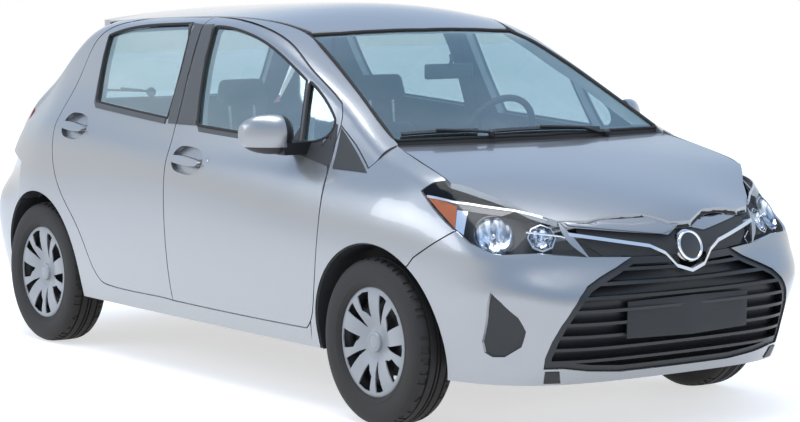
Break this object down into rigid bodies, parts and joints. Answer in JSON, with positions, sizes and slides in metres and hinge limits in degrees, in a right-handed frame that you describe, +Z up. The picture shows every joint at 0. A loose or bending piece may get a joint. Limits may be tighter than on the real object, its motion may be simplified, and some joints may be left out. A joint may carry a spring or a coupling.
{
  "type": "hatchback car",
  "caption": "Small five-door hatchback car with opening doors, bonnet and tailgate, steered front wheels, seats and running gear.",
  "frame": {"origin": "on the ground under the middle of the overall length", "axes": "+X to the nose, +Y to the car's left, +Z up"},
  "size_m": [3.9533, 1.924, 1.4866],
  "materials": {
    "paint": "metallic gloss",
    "bright": "polished",
    "black_plastic": "satin black",
    "gloss_black": "gloss",
    "lamp": "clear gloss",
    "red_lamp": "clear red",
    "window": "tinted",
    "tyre_rubber": "matt",
    "wheel_cover": "silver satin",
    "seat_cloth": "woven",
    "steel": "rough",
    "floor_steel": "sealed matt",
    "alloy": "cast"
  },
  "bodies": {
    "shell": {"body_side_left": "paint", "body_side_right": "paint", "cowl": "black_plastic", "dashboard": "black_plastic", "engine_block": "alloy", "exhaust": "steel", "fenders": "paint", "floor_pan": "floor_steel", "front_bumper": "paint", "front_seats": "seat_cloth", "front_suspension": "steel", "grille_trim": "bright", "headlamps": "lamp", "lower_grille": "black_plastic", "rear_axle": "steel", "rear_bumper": "paint", "rear_corners": "paint", "rear_seat": "seat_cloth", "roof_mouldings": "black_plastic", "roof_panel": "paint", "tail_lamps": "red_lamp", "upper_grille": "black_plastic", "wheel_liners": "black_plastic", "windscreen": "window", "wipers": "black_plastic"},
    "door_front_right": {"front_door_right": "paint", "front_door_glass_right": "window", "mirror_right": "paint"},
    "door_front_left": {"front_door_left": "paint", "front_door_glass_left": "window", "mirror_left": "paint"},
    "door_rear_right": {"rear_door_right": "paint", "rear_door_glass_right": "window"},
    "door_rear_left": {"rear_door_left": "paint", "rear_door_glass_left": "window"},
    "bonnet_lid": {"bonnet": "paint"},
    "tailgate": {"hatch": "paint", "hatch_glass": "window"},
    "steering": {"steering_wheel": "black_plastic"},
    "upright_right": {"front_knuckle_right": "steel"},
    "upright_left": {"front_knuckle_left": "steel"},
    "wheel_front_right": {"front_wheel_right": "wheel_cover", "front_tyre_right": "tyre_rubber"},
    "wheel_front_left": {"front_wheel_left": "wheel_cover", "front_tyre_left": "tyre_rubber"},
    "wheel_rear_right": {"rear_wheel_right": "wheel_cover", "rear_tyre_right": "tyre_rubber"},
    "wheel_rear_left": {"rear_wheel_left": "wheel_cover", "rear_tyre_left": "tyre_rubber"}
  },
  "joints": [
    {"name": "front_door_right_hinge", "type": "hinge", "parent": "shell", "child": "door_front_right", "pos_m": [0.86, -0.8485, 0.62], "axis": [0, 0, 1], "range_deg": [0, 65]},
    {"name": "front_door_left_hinge", "type": "hinge", "parent": "shell", "child": "door_front_left", "pos_m": [0.86, 0.8485, 0.62], "axis": [0, 0, -1], "range_deg": [0, 65]},
    {"name": "rear_door_right_hinge", "type": "hinge", "parent": "shell", "child": "door_rear_right", "pos_m": [-0.19734, -0.8485, 0.62], "axis": [0, 0, 1], "range_deg": [0, 70]},
    {"name": "rear_door_left_hinge", "type": "hinge", "parent": "shell", "child": "door_rear_left", "pos_m": [-0.19734, 0.8485, 0.62], "axis": [0, 0, -1], "range_deg": [0, 70]},
    {"name": "bonnet_hinge", "type": "hinge", "parent": "shell", "child": "bonnet_lid", "pos_m": [1.03, 0, 1.02], "axis": [0, -1, 0], "range_deg": [0, 50]},
    {"name": "tailgate_hinge", "type": "hinge", "parent": "shell", "child": "tailgate", "pos_m": [-1.2, 0, 1.445], "axis": [0, 1, 0], "range_deg": [0, 78]},
    {"name": "steering_right", "type": "hinge", "parent": "shell", "child": "upright_right", "pos_m": [1.175, -0.686, 0.2], "axis": [0, 0.203, 0.9792], "range_deg": [-35, 35]},
    {"name": "steering_left", "type": "hinge", "parent": "shell", "child": "upright_left", "pos_m": [1.175, 0.686, 0.2], "axis": [0, -0.203, 0.9792], "range_deg": [-35, 35]},
    {"name": "steering_wheel_turn", "type": "hinge", "parent": "shell", "child": "steering", "pos_m": [0.40318, 0.355, 0.9536], "axis": [-0.9135, 0, 0.4067], "range_deg": [-560, 560]},
    {"name": "front_wheel_right_roll", "type": "hinge", "parent": "upright_right", "child": "wheel_front_right", "pos_m": [1.175, -0.737, 0.304], "axis": [0, 1, 0], "continuous": true},
    {"name": "rear_wheel_right_roll", "type": "hinge", "parent": "shell", "child": "wheel_rear_right", "pos_m": [-1.335, -0.73, 0.304], "axis": [0, 1, 0], "continuous": true},
    {"name": "front_wheel_left_roll", "type": "hinge", "parent": "upright_left", "child": "wheel_front_left", "pos_m": [1.175, 0.737, 0.304], "axis": [0, 1, 0], "continuous": true},
    {"name": "rear_wheel_left_roll", "type": "hinge", "parent": "shell", "child": "wheel_rear_left", "pos_m": [-1.335, 0.73, 0.304], "axis": [0, 1, 0], "continuous": true}
  ],
  "couplings": [
    {"joint": "steering_right", "follows": "steering_left", "ratio": 1},
    {"joint": "steering_wheel_turn", "follows": "steering_left", "ratio": 16}
  ]
}
